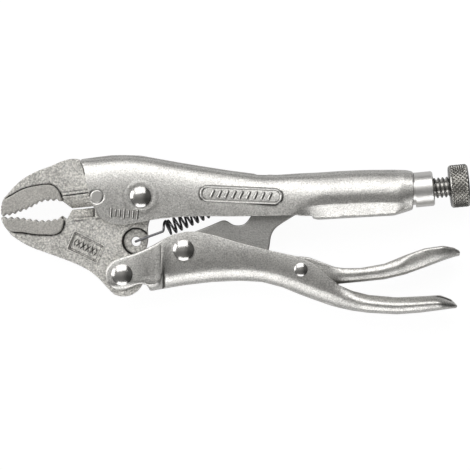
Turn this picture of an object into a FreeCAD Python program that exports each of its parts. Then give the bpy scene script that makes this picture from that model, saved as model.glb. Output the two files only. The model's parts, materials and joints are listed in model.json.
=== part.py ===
import FreeCAD, Part
import Sketcher
import math
import os

# Locking pliers with a curved jaw and a wire cutter, lying on their side.
# Millimetres. Every piece is drawn about the main jaw pivot at (0, 0): +X runs from the jaws
# to the adjusting knob, +Y towards the back of the fixed handle, and Z is the thickness,
# with Z = 0 in the middle of the plates. The last step moves everything together, so that
# the origin is the centre of the bottom of the whole tool's box.

SIZES = [
    # overall reach, each from the main pivot
    ("jaw_reach", 35.05, "main pivot to the nose of the jaws"),
    ("handle_reach", 68.3, "main pivot to the end of the rolled handle"),
    ("tail_reach", 79.4, "main pivot to the tip of the moving handle"),
    ("lever_reach", 80.0, "main pivot to the end of the release lever"),
    # pivots of the linkage
    ("handle_pivot_x", -4.65, "jaw to moving handle"),
    ("handle_pivot_y", -19.5, "jaw to moving handle"),
    ("link_pivot_x", 10.75, "moving handle to toggle link"),
    ("link_pivot_y", -13.35, "moving handle to toggle link"),
    ("release_pivot_x", 40.1, "moving handle to release lever"),
    ("release_pivot_y", -18.25, "moving handle to release lever"),
    ("anchor_x", -11.0, "rivet of the fixed jaw"),
    ("anchor_y", 0.05, "rivet of the fixed jaw"),
    ("thrust_x", 43.6, "where the link bears on the screw"),
    ("thrust_y", -0.7, "where the link bears on the screw"),
    # plates and sheets
    ("jaw_plate", 6.0, "thickness of both forged jaws"),
    ("pad_rise", 0.45, "height of the ground pads on each side of a jaw"),
    ("plate_play", 0.1, "gap between a jaw and the ears on each side"),
    ("handle_sheet", 1.4, "sheet of both handles"),
    ("bend_inner", 2.9, "inside bend of the fixed handle's back"),
    ("link_plate", 4.0, "thickness of the toggle link"),
    ("link_play", 0.15, "gap between the channel and what moves in it"),
    ("lever_sheet", 1.1, "sheet of the release lever"),
    ("tube_half", 5.15, "half width of the rolled handle"),
    ("flare_half", 4.7, "half width of the moving handle's flared tail"),
    ("spoon_half", 3.6, "half width of the release lever's spoon"),
    # teeth and cutter
    ("tooth_pitch", 1.5, "pitch of the jaw teeth"),
    ("tooth_depth", 0.7, "depth of the jaw teeth"),
    ("cutter_gap", 0.4, "gap between the cutting edges"),
    ("cutter_land", 1.0, "thickness left at a cutting edge"),
    # rivets
    ("main_shank", 3.6, "diameter of the three large rivets"),
    ("main_head", 5.3, "head diameter of the three large rivets"),
    ("main_rise", 1.2, "head height of the three large rivets"),
    ("small_shank", 2.0, "diameter of the release lever's rivet"),
    ("small_head", 3.35, "head diameter of the release lever's rivet"),
    ("small_rise", 0.7, "head height of the release lever's rivet"),
    ("anchor_shank", 2.5, "diameter of the fixed jaw's flush rivet"),
    ("pivot_play", 0.05, "radial clearance of every turning rivet"),
    ("lug_play", 0.4, "gap round the moving jaw's pivot lug"),
    # adjusting screw
    ("screw_tilt", 5.4, "degrees that the screw leans up towards the knob"),
    ("screw_shank", 5.2, "outside diameter of the thread"),
    ("thread_play", 0.05, "radial clearance of the thread in its bushing"),
    ("neck_across", 7.4, "diameter of the bushing inside the handle"),
    ("neck_length", 9.0, "length of the bushing inside the handle"),
    ("collar_across", 8.75, "diameter of the bushing's collar"),
    ("collar_length", 4.7, "length of the bushing's collar"),
    ("thread_shown", 4.0, "thread between the collar and the knob"),
    ("knob_across", 10.75, "diameter of the knob"),
    ("knob_length", 4.95, "length of the knob"),
    ("knob_round", 0.9, "rounding of the knob's rims"),
    ("knob_play", 0.02, "radial clearance of the knob on the screw's spigot"),
    ("thrust_gap", 1.7, "room between the link's end and the screw"),
    # spring and its holes
    ("spring_wire", 0.55, "wire of the jaw spring"),
    ("spring_across", 4.0, "outside diameter of the coil"),
    ("spring_hole", 2.4, "diameter of the spring's hole in the moving jaw"),
    ("spring_seat", 7.0, "diameter of the recess round that hole"),
    ("seat_depth", 0.9, "depth of the recess"),
    ("label_depth", 0.4, "depth of the recessed panel on the moving jaw"),
]

doc = FreeCAD.newDocument("locking_pliers")
sheet = doc.addObject("Spreadsheet::Sheet", "sizes")
for row, (alias, value, meaning) in enumerate(SIZES, start=1):
    sheet.set("A%d" % row, meaning)
    sheet.set("B%d" % row, str(value))
    sheet.setAlias("B%d" % row, alias)
doc.recompute()


def size(alias):
    return float(sheet.get(alias))


def point(x, y, z=0.0):
    return FreeCAD.Vector(x, y, z)


# ---------------------------------------------------------------- derived places

MAIN_PIVOT = point(0.0, 0.0)
HANDLE_PIVOT = point(size("handle_pivot_x"), size("handle_pivot_y"))
LINK_PIVOT = point(size("link_pivot_x"), size("link_pivot_y"))
RELEASE_PIVOT = point(size("release_pivot_x"), size("release_pivot_y"))
ANCHOR = point(size("anchor_x"), size("anchor_y"))
THRUST = point(size("thrust_x"), size("thrust_y"))
TILT = math.radians(size("screw_tilt"))
SCREW_WAY = point(math.cos(TILT), math.sin(TILT))

JAW_HALF = size("jaw_plate") / 2
EAR_INNER = JAW_HALF + size("plate_play")
EAR_OUTER = EAR_INNER + size("handle_sheet")
LINK_HALF = size("link_plate") / 2
CHANNEL_INNER = LINK_HALF + size("link_play")
CHANNEL_OUTER = CHANNEL_INNER + size("handle_sheet")
LEVER_HALF = LINK_HALF
WALL = size("handle_sheet")

# Radii of the rounded ends, each about its own pivot, and of the sheets' bare edges.
LUG = 5.3
KNUCKLE = 5.6
EAR_ROUND = 4.15
LINK_EYE = 3.2
LINK_END = 2.4
SHARP = 0.25

# Places and small distances that more than one piece uses: the spring's hole, how far the
# bushing's collar stands off the handle, the screw's thin end inside the knob and how much
# shorter it is, how far the fixed jaw reaches up into the handle's bend, how far the flush
# rivet stands out, and how far the bushing's seat is bored past the bushing at each end.
SPRING_HOLE = point(-1.2, -11.2)
COLLAR_CLEAR = 0.45
SPIGOT = size("screw_shank") / 2 - 0.6
SPIGOT_SHORT = 0.4
SHOULDER_RISE = 0.6
FLUSH_RISE = 0.1
SEAT_PAST = 2.0

# Expressions: a cut through the whole tool, and the lanced tab and its window.
RIGHT_THROUGH = "20"
TAB_WINDOW = "2.4"
TAB_WIDTH = "2.0"


# ---------------------------------------------------------------- sketches and features

def curve(points):
    spline = Part.BSplineCurve()
    spline.interpolate(points)
    return spline


def chain(start, *stretches):
    """Curves of a closed outline: a stretch of one point is a straight line, a stretch of
    more points is one smooth curve through them, and ("arc", middle, end) is an arc."""
    parts = []
    here = start
    for stretch in stretches:
        if stretch[0] == "arc":
            parts.append(Part.ArcOfCircle(here, stretch[1], stretch[2]))
            here = stretch[2]
        elif len(stretch) == 1:
            parts.append(Part.LineSegment(here, stretch[0]))
            here = stretch[0]
        else:
            parts.append(curve([here] + list(stretch)))
            here = stretch[-1]
    if here.distanceToPoint(start) > 1e-6:
        parts.append(Part.LineSegment(here, start))
    return parts


def polygon(*corners):
    return chain(corners[0], *[[corner] for corner in corners[1:]])


def circle(centre, radius):
    return [Part.Circle(centre, FreeCAD.Vector(0, 0, 1), radius)]


def polar(centre, radius, degrees):
    angle = math.radians(degrees)
    return point(centre.x + radius * math.cos(angle), centre.y + radius * math.sin(angle))


def arc_about(centre, radius, first, last):
    return ("arc", polar(centre, radius, (first + last) / 2), polar(centre, radius, last))


def body(name):
    made = doc.addObject("PartDesign::Body", name)
    made.Label = name
    return made


def sketch(owner, name, curves, plane="XY_Plane", offset=0.0):
    made = owner.newObject("Sketcher::SketchObject", name)
    origin_plane = [item for item in owner.Origin.OriginFeatures if item.Role == plane][0]
    made.AttachmentSupport = [(origin_plane, "")]
    made.MapMode = "FlatFace"
    made.AttachmentOffset = FreeCAD.Placement(point(0, 0, offset), FreeCAD.Rotation())
    made.addGeometry(curves, False)
    return made


def pad(owner, name, curves, thickness):
    """Adds a slab, half on each side of the middle plane. thickness is an expression."""
    made = owner.newObject("PartDesign::Pad", name)
    made.Profile = (sketch(owner, name + "_outline", curves), [""])
    made.SideType = "Symmetric"
    made.setExpression("Length", thickness)
    doc.recompute()
    return made


def pocket(owner, name, curves, depth, offset=None, reversed_cut=False):
    """Cuts a slab: through the middle plane, or upwards from offset on one side."""
    before = owner.Shape.Volume
    made = owner.newObject("PartDesign::Pocket", name)
    made.Profile = (sketch(owner, name + "_outline", curves, offset=offset or 0.0), [""])
    if offset is None:
        made.SideType = "Symmetric"
    made.setExpression("Length", depth)
    made.Reversed = reversed_cut
    doc.recompute()
    if owner.Shape.Volume >= before - 1e-6:
        raise RuntimeError(name + " cuts nothing")
    return made


def bore(owner, name, centre, across, play="0"):
    """A hole through every wall, as wide as the shank it takes plus its clearance."""
    radius = size(across) / 2 + (size(play) if play != "0" else 0.0)
    made = owner.newObject("PartDesign::Pocket", name)
    drawn = sketch(owner, name + "_outline", circle(centre, radius))
    drawn.addConstraint(Sketcher.Constraint("Radius", 0, radius))
    drawn.setExpression("Constraints[0]", "sizes.%s / 2 + %s"
                        % (across, "sizes." + play if play != "0" else "0"))
    made.Profile = (drawn, [""])
    made.SideType = "Symmetric"
    made.Type = "ThroughAll"
    doc.recompute()
    return made


def revolve(owner, name, curves):
    """Turns an outline, drawn in the XY plane, about the body's X axis."""
    made = owner.newObject("PartDesign::Revolution", name)
    drawn = sketch(owner, name + "_outline", curves)
    made.Profile = (drawn, [""])
    made.ReferenceAxis = (drawn, ["H_Axis"])
    made.Angle = 360
    doc.recompute()
    return made


def rounded_section(low, high, half, low_round, high_round):
    """A cross-section of a handle: a box from low to high with rounded corners."""
    low_round = min(low_round, half - 0.05, (high - low) / 2 - 0.05)
    high_round = min(high_round, half - 0.05, (high - low) / 2 - 0.05)

    def corner(y, z, radius, first):
        return Part.ArcOfCircle(Part.Circle(point(y, z), FreeCAD.Vector(0, 0, 1), radius),
                                math.radians(first), math.radians(first + 90))

    arcs = [
        corner(high - high_round, half - high_round, high_round, 0),
        corner(low + low_round, half - low_round, low_round, 90),
        corner(low + low_round, -half + low_round, low_round, 180),
        corner(high - high_round, -half + high_round, high_round, 270),
    ]
    curves = []
    for index, arc in enumerate(arcs):
        following = arcs[(index + 1) % 4]
        curves.append(arc)
        curves.append(Part.LineSegment(arc.EndPoint, following.StartPoint))
    return curves


def loft(owner, name, stations, kind="PartDesign::AdditiveLoft"):
    """A skin through cross-sections, straight from each to the next. A station is x, low,
    high, half width, low rounding and high rounding."""
    sections = []
    for index, station in enumerate(stations):
        drawn = sketch(owner, "%s_%d" % (name, index), rounded_section(*station[1:]),
                       "YZ_Plane", station[0])
        sections.append(drawn)
    doc.recompute()
    made = owner.newObject(kind, name)
    made.Profile = (sections[0], [""])
    made.Sections = [(section, [""]) for section in sections[1:]]
    made.Ruled = True
    doc.recompute()
    return made


# ---------------------------------------------------------------- jaws

NOSE = -size("jaw_reach")
DRAWN_NOSE = -35.05
JAW_THROAT = -20.0


def jaw_x(x):
    """The grip in front of the throat stretches with the jaw's reach, and the rest stays."""
    if x >= JAW_THROAT:
        return x
    return JAW_THROAT + (x - JAW_THROAT) * (NOSE - JAW_THROAT) / (DRAWN_NOSE - JAW_THROAT)


def jaw_points(*pairs):
    return [point(jaw_x(x), y) for x, y in pairs]


def teeth(line, side):
    """A row of teeth along a smooth line. Their tips touch it, and side is the way their
    roots lie, +1 for up and -1 for down."""
    edge = curve(line)
    count = int(round(edge.length() / size("tooth_pitch")))
    row = []
    for index in range(count):
        for place, lift in ((0.0, size("tooth_depth")), (0.35, 0.0)):
            at = edge.parameterAtDistance(edge.length() * (index + place) / count)
            here = edge.value(at)
            row.append([point(here.x, here.y + side * lift)])
    row.append([line[-1]])
    return row


UPPER_TIPS = jaw_points((-35.05, -5.0), (-32.1, -4.5), (-29.6, -3.6), (-27.1, -2.5),
                        (-25.6, -1.6), (-23.9, -1.2), (-21.4, -1.1), (-19.6, -1.1))
LOWER_TIPS = jaw_points((-35.05, -5.15), (-31.6, -4.98), (-29.1, -5.25), (-26.6, -5.6),
                        (-23.9, -5.75), (-21.4, -5.4), (-20.1, -5.0), (-19.6, -4.75))
CUTTER_UPPER = [point(-17.25, -2.9), point(-12.1, -2.4)]
CUTTER_START = -19.7
CUTTER_LENGTH = 8.2
LUG_CLEAR = LUG + size("lug_play")


def upper_jaw():
    made = body("upper_jaw")
    tail_low = polar(MAIN_PIVOT, LUG_CLEAR, 196)
    tail_high = polar(MAIN_PIVOT, LUG_CLEAR, 110)
    ceiling = WALL + size("bend_inner") - SHOULDER_RISE
    outline = chain(
        UPPER_TIPS[0] + point(0, size("tooth_depth")),
        *teeth(UPPER_TIPS, 1)[1:],
        [point(-19.4, -1.3)],
        CUTTER_UPPER[:1],
        CUTTER_UPPER[1:],
        [tail_low],
        ("arc", polar(MAIN_PIVOT, LUG_CLEAR, 153), tail_high),
        [point(tail_high.x, 10.3 - ceiling)],
        [point(-7.0, 10.3 - ceiling)],
        [point(-11.4, 9.7 - ceiling)],
        [point(-14.1, 9.2 - ceiling)],
        [point(-14.42, 7.0)],
        [point(-15.27, 9.0)],
        [point(-15.4, 9.35)],
        jaw_points((-16.6, 9.5), (-18.1, 9.35), (-20.1, 8.75), (-22.6, 7.65), (-25.1, 6.75),
                   (-27.6, 5.6), (-30.1, 4.0), (-32.1, 2.1), (-33.6, 0.4)),
        jaw_points((-34.4, -0.6), (-34.9, -1.9), (-35.05, -3.4)),
    )
    pad(made, "forging", outline, "sizes.jaw_plate + 2 * sizes.pad_rise")
    kept = jaw_points((-34.7, -6.0), (-34.6, -0.9))
    pad_edge = chain(
        kept[0],
        [kept[1]],
        jaw_points((-32.1, 0.4), (-29.6, 1.75), (-27.1, 2.5), (-24.6, 2.9), (-22.6, 2.9),
                   (-21.2, 2.1), (-20.2, 0.6), (-19.8, -1.1)),
        [point(-19.8, -6.0)],
    )
    relieve(made, pad_edge)
    bevel(made, "cutter", CUTTER_UPPER, 1)
    bore(made, "anchor_hole", ANCHOR, "anchor_shank")
    return made


def relieve(made, pad_edge):
    """Takes both faces down to the jaw's plate, outside the ground pad."""
    far = 60.0
    frame = polygon(point(-far, -far), point(far, -far), point(far, far), point(-far, far))
    for name, reversed_cut in (("front_relief", True), ("back_relief", False)):
        offset = JAW_HALF if reversed_cut else -JAW_HALF
        pocket(made, name, frame + pad_edge, "2 * sizes.pad_rise", offset, reversed_cut)


def bevel(made, name, edge, side):
    """Grinds both faces down to the land at a cutting edge, side +1 for an edge that
    looks down and -1 for one that looks up. It starts before the edge and runs out on the
    jaw's faces."""
    land = size("cutter_land") / 2
    lead = 0.6
    run = 2.8
    first = min if side > 0 else max
    begin = first(edge[0].y, edge[1].y) - side * lead
    finish = begin + side * (lead + run)
    outside = JAW_HALF + 1.0
    for facing in (1, -1):
        corners = [
            point(begin, facing * (land - 0.1)),
            point(finish, facing * (JAW_HALF + 0.02)),
            point(finish, facing * outside),
            point(begin, facing * outside),
        ]
        before = made.Shape.Volume
        cut = made.newObject("PartDesign::Pocket", "%s_bevel_%d" % (name, facing + 1))
        cut.Profile = (sketch(made, "%s_bevel_line_%d" % (name, facing + 1),
                              polygon(*corners), "YZ_Plane", CUTTER_START), [""])
        cut.Length = CUTTER_LENGTH
        cut.Reversed = True
        doc.recompute()
        if made.Shape.Volume >= before - 1e-6:
            raise RuntimeError(name + " bevel cuts nothing")


def lower_jaw():
    made = body("lower_jaw")
    gap = point(0, -size("cutter_gap"))
    lug_start = polar(MAIN_PIVOT, LUG, -55)
    lug_end = polar(MAIN_PIVOT, LUG, 203)
    knuckle_low = polar(HANDLE_PIVOT, KNUCKLE, -27)
    knuckle_high = polar(HANDLE_PIVOT, KNUCKLE, 38)
    outline = chain(
        lug_start,
        ("arc", polar(MAIN_PIVOT, LUG, 74), lug_end),
        [CUTTER_UPPER[1] + gap],
        [CUTTER_UPPER[0] + gap],
        [point(-18.5, -5.75)],
        [LOWER_TIPS[-1]],
        *teeth(LOWER_TIPS[::-1], -1)[1:],
        jaw_points((-34.85, -6.0), (-34.2, -7.3), (-32.6, -9.4)),
        jaw_points((-30.6, -10.9), (-27.6, -12.55), (-23.9, -13.95), (-20.1, -15.35)),
        [point(-17.6, -16.25), point(-15.1, -17.35), point(-12.6, -18.75),
         point(-10.3, -20.7), point(-8.4, -22.8), point(-6.6, -24.5)],
        ("arc", polar(HANDLE_PIVOT, KNUCKLE, -68), knuckle_low),
        arc_about(HANDLE_PIVOT, KNUCKLE, -27, 38),
        [point(0.45, -14.6), point(1.35, -12.8), point(1.8, -10.9), point(1.75, -7.9),
         point(2.1, -6.2), lug_start],
    )
    pad(made, "forging", outline, "sizes.jaw_plate + 2 * sizes.pad_rise")
    pad_edge = chain(
        jaw_points((-34.3, 0.0))[0],
        jaw_points((-34.3, -7.4)),
        jaw_points((-32.9, -8.5), (-30.1, -8.75), (-26.9, -9.25), (-23.9, -9.4),
                   (-20.9, -9.1), (-20.0, -8.4), (-19.4, -6.9), (-19.2, -5.4)),
        [point(-19.2, 0.0)],
    )
    relieve(made, pad_edge)
    bevel(made, "cutter", [corner + gap for corner in CUTTER_UPPER], -1)
    bore(made, "main_hole", MAIN_PIVOT, "main_shank", "pivot_play")
    bore(made, "handle_hole", HANDLE_PIVOT, "main_shank", "pivot_play")
    bore(made, "spring_hole", SPRING_HOLE, "spring_hole")
    seat = size("spring_seat") / 2
    pocket(made, "spring_seat", circle(SPRING_HOLE, seat), "sizes.seat_depth",
           JAW_HALF - size("seat_depth"), True)
    panel = polygon(point(-16.5, -8.8), point(-9.3, -12.4), point(-11.1, -16.4),
                    point(-18.2, -13.0))
    for name, reversed_cut in (("front_panel", True), ("back_panel", False)):
        floor = JAW_HALF - size("label_depth")
        pocket(made, name, panel, "sizes.label_depth + sizes.pad_rise",
               floor if reversed_cut else -floor, reversed_cut)
    return made


# ---------------------------------------------------------------- fixed handle

TUBE_START = 44.5
HANDLE_END = size("handle_reach")


def tube_x(part):
    """A place along the rolled part of the fixed handle, 0 at its start, 1 at its end."""
    return TUBE_START + (HANDLE_END - TUBE_START) * part


def screw_at(x):
    """The point of the screw's axis at x."""
    return point(x, THRUST.y + (x - THRUST.x) * math.tan(TILT))


def upper_handle():
    made = body("upper_handle")
    half = EAR_OUTER
    tube = size("tube_half")
    bend = size("bend_inner") + WALL
    end = size("collar_across") / 2 + 0.5
    mouth = screw_at(HANDLE_END).y
    channel = [
        (-17.0, -8.0, 9.2), (-11.4, -8.0, 9.95), (-7.3, -7.6, 10.45), (-4.0, -7.1, 10.5),
        (0.0, -6.3, 10.35), (5.0, -5.45, 9.45), (10.0, -5.05, 8.55), (15.0, -4.88, 7.75),
        (22.0, -4.95, 6.65), (28.5, -4.85, 5.8), (34.0, -4.72, 5.5),
    ]
    stations = [(x, low, high, half, SHARP, bend) for x, low, high in channel]
    stations += [
        (39.0, -4.62, 5.85, half, 0.6, bend),
        (41.8, -5.2, 5.98, half + 0.2, 2.6, bend),
        (TUBE_START, -5.8, 6.1, tube - 0.25, 4.4, 4.6),
        (tube_x(0.25), -5.45, 6.5, tube, 4.9, 4.9),
        (tube_x(0.52), -5.1, 6.75, tube, 4.9, 4.9),
        (tube_x(0.8), -4.75, 6.8, tube, 4.9, 4.9),
        (tube_x(0.93), mouth - end - 0.55, mouth + end + 0.2, tube - 0.1, 4.8, 4.8),
        (HANDLE_END, mouth - end, mouth + end - 0.2, end, end - 0.1, end - 0.1),
    ]
    loft(made, "skin", stations)
    inner = EAR_INNER
    cavity = [(x, low - 3.0, high - WALL, inner, SHARP, bend - WALL) for x, low, high in channel]
    cavity[0] = (-18.0,) + cavity[0][1:]
    cavity.append((39.0, -7.6, 5.8 - WALL, inner, SHARP, bend - WALL))
    cavity.append((43.0, -8.6, 5.8 - WALL, inner, SHARP, bend - WALL))
    loft(made, "channel", cavity, "PartDesign::SubtractiveLoft")
    tube_cavity = [
        (40.0, -4.2, 4.3, inner, 0.7, bend - WALL),
        (TUBE_START, -4.45, 6.1 - WALL, tube - 0.25 - WALL, 2.4, 3.3),
        (tube_x(0.25), -3.95, 6.5 - WALL, tube - WALL, 3.6, 3.6),
        (HANDLE_END - size("neck_length"), -3.4, 6.7 - WALL, tube - WALL, 3.6, 3.6),
    ]
    loft(made, "hollow", tube_cavity, "PartDesign::SubtractiveLoft")
    front = chain(
        point(-25.0, 15.0),
        [point(-15.15, 15.0)],
        [point(-15.15, 9.0)],
        [point(-14.3, 7.0), point(-13.7, 4.0), point(-13.0, 0.6), point(-12.2, -1.9),
         point(-11.0, -3.9), point(-9.7, -5.5), point(-8.0, -6.4), point(-6.2, -6.85),
         point(-4.6, -6.9)],
        [point(-4.6, -15.0)],
        [point(-25.0, -15.0)],
    )
    pocket(made, "front_edge", front, RIGHT_THROUGH)
    seat = made.newObject("PartDesign::SubtractiveCylinder", "bushing_seat")
    seat.setExpression("Radius", "sizes.neck_across / 2")
    seat.setExpression("Height", "sizes.neck_length + %g" % (2 * SEAT_PAST))
    seat.Placement = FreeCAD.Placement(
        screw_at(HANDLE_END) - SCREW_WAY * (size("neck_length") + SEAT_PAST),
        FreeCAD.Rotation(FreeCAD.Vector(0, 0, 1), SCREW_WAY))
    doc.recompute()
    window = polygon(point(28.9, 3.0), point(31.6, 3.0), point(31.6, 9.0), point(28.9, 9.0))
    pocket(made, "tab_window", window, TAB_WINDOW)
    tab = polygon(point(28.0, 5.4), point(28.0, 2.4), point(29.0, 2.4), point(29.0, 5.4))
    pad(made, "spring_tab", tab, TAB_WIDTH)
    bore(made, "main_hole", MAIN_PIVOT, "main_shank")
    bore(made, "anchor_hole", ANCHOR, "anchor_shank")
    return made


# ---------------------------------------------------------------- moving handle

TAIL_START = 53.0
TAIL_END = size("tail_reach")


def tail_x(part):
    """A place along the moving handle's tail, 0 at its start, 1 at its tip."""
    return TAIL_START + (TAIL_END - TAIL_START) * part


def lower_handle():
    made = body("lower_handle")
    ears = EAR_OUTER
    narrow = CHANNEL_OUTER
    flare = size("flare_half")
    bend = 3.3
    stations = [
        (-11.0, -25.5, -16.5, ears), (-4.6, -24.2, -14.98, ears), (-0.1, -23.95, -13.6, ears),
        (2.9, -23.6, -12.25, ears), (4.2, -23.35, -11.5, ears - 0.15),
        (5.8, -23.1, -10.5, narrow + 0.1), (8.0, -22.7, -9.5, narrow), (11.1, -22.2, -8.75, narrow),
        (14.0, -21.85, -8.72, narrow), (18.0, -21.4, -9.55, narrow), (24.9, -21.1, -11.6, narrow),
        (30.4, -21.4, -13.0, narrow), (35.5, -22.75, -14.15, narrow), (39.9, -24.55, -15.1, narrow),
        (43.1, -25.75, -16.75, narrow), (47.4, -27.25, -20.4, narrow), (50.0, -27.95, -22.3, narrow),
        (TAIL_START, -28.6, -23.6, narrow + 0.15), (tail_x(0.16), -29.15, -24.65, narrow + 0.5),
        (tail_x(0.42), -29.5, -25.25, flare - 0.2), (tail_x(0.64), -29.1, -25.0, flare),
        (tail_x(0.84), -28.4, -24.7, flare - 0.2), (tail_x(0.94), -28.05, -25.7, flare - 1.0),
        (TAIL_END, -27.9, -27.3, flare - 2.4),
    ]
    loft(made, "skin", [station + (bend, SHARP) for station in stations])
    cavity = [(x, low + WALL, high + 3.0, half - WALL, bend - WALL, SHARP)
              for x, low, high, half in stations[:-3]]
    x, low, high, half = stations[-3]
    cavity.append((x, low + 1.1, high + 3.0, half - 1.0, 1.5, SHARP))
    x, low, high, half = stations[-2]
    cavity.append((x, low + 1.0, high + 4.0, half - 1.2, 1.0, SHARP))
    loft(made, "channel", cavity, "PartDesign::SubtractiveLoft")
    ear_top = polar(HANDLE_PIVOT, EAR_ROUND, 118)
    ear_low = polar(HANDLE_PIVOT, EAR_ROUND, 262)
    front = chain(
        point(-20.0, -5.0),
        [point(-0.1, -5.0)],
        [point(-0.1, -13.6)],
        [point(-2.6, -14.5), point(-4.9, -15.2), ear_top],
        ("arc", polar(HANDLE_PIVOT, EAR_ROUND, 190), ear_low),
        [point(-2.4, -22.75), point(-0.8, -22.05), point(0.35, -21.9), point(1.4, -22.1)],
        [point(2.4, -23.75)],
        [point(2.4, -30.0)],
        [point(-20.0, -30.0)],
    )
    pocket(made, "front_edge", front, RIGHT_THROUGH)
    mouth = polygon(point(-12.0, -26.0), point(1.9, -26.0), point(1.9, -19.0), point(-12.0, -19.0))
    pocket(made, "ear_gap", mouth, "sizes.jaw_plate + 2 * sizes.plate_play")
    bore(made, "handle_hole", HANDLE_PIVOT, "main_shank")
    bore(made, "link_hole", LINK_PIVOT, "main_shank")
    bore(made, "release_hole", RELEASE_PIVOT, "small_shank")
    return made


# ---------------------------------------------------------------- link and release lever

def toggle_link():
    made = body("toggle_link")
    tip_round = THRUST - SCREW_WAY * (LINK_END + size("thrust_gap") / 2)
    outline = chain(
        polar(LINK_PIVOT, LINK_EYE, 122),
        [point(13.9, -8.6), point(17.4, -7.2), point(19.6, -6.25), point(20.9, -5.9),
         point(21.9, -6.25), point(22.9, -6.9), point(24.1, -7.2), point(25.6, -7.0),
         point(26.6, -6.25), point(27.5, -5.0), point(30.5, -1.6),
         point(35.5, 0.6), polar(tip_round, LINK_END, 100)],
        arc_about(tip_round, LINK_END, 100, -70),
        [point(38.9, -4.5), point(36.9, -5.75), point(34.9, -7.0), point(33.6, -8.1),
         point(32.75, -9.6), point(32.4, -11.4), point(32.1, -13.2)],
        [point(31.2, -14.5), point(28.0, -15.2), point(22.0, -16.2),
         polar(LINK_PIVOT, LINK_EYE, 272)],
        arc_about(LINK_PIVOT, LINK_EYE, 272, 122),
    )
    pad(made, "blank", outline, "sizes.link_plate")
    bore(made, "eye", LINK_PIVOT, "main_shank", "pivot_play")
    return made


LEVER_RISE = 51.0
LEVER_END = size("lever_reach")


def lever_x(part):
    """A place along the release lever's free arm, 0 at its waist, 1 at its end."""
    return LEVER_RISE + (LEVER_END - LEVER_RISE) * part


def release_lever():
    made = body("release_lever")
    spoon = size("spoon_half")
    bend = 1.7
    gauge = size("lever_sheet")
    stations = [
        (31.3, -17.9, -16.6, LEVER_HALF), (34.5, -19.9, -16.0, LEVER_HALF),
        (37.2, -21.1, -15.3, LEVER_HALF), (40.1, -21.6, -14.95, LEVER_HALF),
        (42.4, -21.8, -15.25, LEVER_HALF), (45.5, -22.0, -16.45, LEVER_HALF),
        (48.6, -21.95, -17.6, LEVER_HALF), (LEVER_RISE, -21.75, -17.92, LEVER_HALF),
        (lever_x(0.15), -21.35, -17.85, LEVER_HALF), (lever_x(0.35), -20.75, -16.8, LEVER_HALF + 0.1),
        (lever_x(0.53), -19.5, -14.65, spoon - 1.0), (lever_x(0.7), -17.7, -12.95, spoon - 0.2),
        (lever_x(0.86), -15.95, -12.3, spoon), (lever_x(0.95), -15.1, -12.8, spoon - 0.3),
        (LEVER_END, -14.8, -13.6, spoon - 1.2),
    ]
    loft(made, "skin", [station + (bend, SHARP) for station in stations])
    cavity = [(x, low + gauge, high + 3.0, half - gauge, bend - gauge, SHARP)
              for x, low, high, half in stations[3:-2]]
    x, low, high, half = stations[2]
    cavity.insert(0, (x + 0.4, low + 2.6, high + 3.0, half - gauge, bend - gauge, SHARP))
    loft(made, "trough", cavity, "PartDesign::SubtractiveLoft")
    bore(made, "release_hole", RELEASE_PIVOT, "small_shank", "pivot_play")
    return made


# ---------------------------------------------------------------- rivets

def upright(made, centre):
    """Stands a piece that was turned about X on the plate at centre."""
    made.Placement = FreeCAD.Placement(centre, FreeCAD.Rotation(FreeCAD.Vector(0, 1, 0), -90))
    return made


def headed_rivet(name, centre, shank, head, rise, grip):
    """A rivet with a low dome on both sides. grip is half the thickness it holds."""
    made = body(name)
    shank_round = size(shank) / 2
    head_round = size(head) / 2
    skirt = 0.3 * size(rise)
    top = grip + size(rise)
    cap = size(rise) - skirt
    ball = (head_round ** 2 + cap ** 2) / (2 * cap)
    half_way = math.asin(head_round / ball) / 2
    middle = point(top - ball + ball * math.cos(half_way), ball * math.sin(half_way))
    outline = chain(
        point(-top, 0),
        [point(top, 0)],
        ("arc", middle, point(grip + skirt, head_round)),
        [point(grip, head_round)],
        [point(grip, shank_round)],
        [point(-grip, shank_round)],
        [point(-grip, head_round)],
        [point(-grip - skirt, head_round)],
        ("arc", point(-middle.x, middle.y), point(-top, 0)),
    )
    revolve(made, "turned", outline)
    return upright(made, centre)


def flush_rivet(name, centre, shank, grip):
    made = body(name)
    outline = polygon(point(-grip, 0), point(grip, 0), point(grip, size(shank) / 2),
                      point(-grip, size(shank) / 2))
    revolve(made, "turned", outline)
    return upright(made, centre)


# ---------------------------------------------------------------- adjusting screw

def along_screw(made, start):
    """Lays a piece that was turned about X on the screw's axis, from start."""
    made.Placement = FreeCAD.Placement(start, FreeCAD.Rotation(FreeCAD.Vector(0, 0, 1),
                                                               size("screw_tilt")))
    return made


def screw_bushing():
    made = body("screw_bushing")
    hole = size("screw_shank") / 2 + size("thread_play")
    neck = size("neck_across") / 2
    collar = size("collar_across") / 2
    neck_length = size("neck_length")
    whole = neck_length + size("collar_length")
    ease = 0.35
    outline = polygon(
        point(0, hole), point(whole, hole), point(whole, collar - ease),
        point(whole - ease, collar), point(neck_length, collar),
        point(neck_length, neck), point(0, neck),
    )
    revolve(made, "turned", outline)
    return along_screw(made, screw_at(HANDLE_END) - SCREW_WAY * (neck_length - COLLAR_CLEAR))


def screw_length():
    """From the thrust point to the inner face of the knob."""
    start = THRUST + SCREW_WAY * (size("thrust_gap") / 2)
    face = screw_at(HANDLE_END) + SCREW_WAY * (COLLAR_CLEAR + size("collar_length"))
    return (face - start).Length + size("thread_shown")


def adjusting_screw():
    made = body("adjusting_screw")
    radius = size("screw_shank") / 2
    ease = 0.6
    length = screw_length()
    spigot_end = length + size("knob_length") - SPIGOT_SHORT
    outline = polygon(
        point(0, 0), point(0, radius - ease), point(ease, radius),
        point(length, radius), point(length, SPIGOT),
        point(spigot_end, SPIGOT), point(spigot_end, 0),
    )
    revolve(made, "turned", outline)
    return along_screw(made, screw_start())


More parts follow.
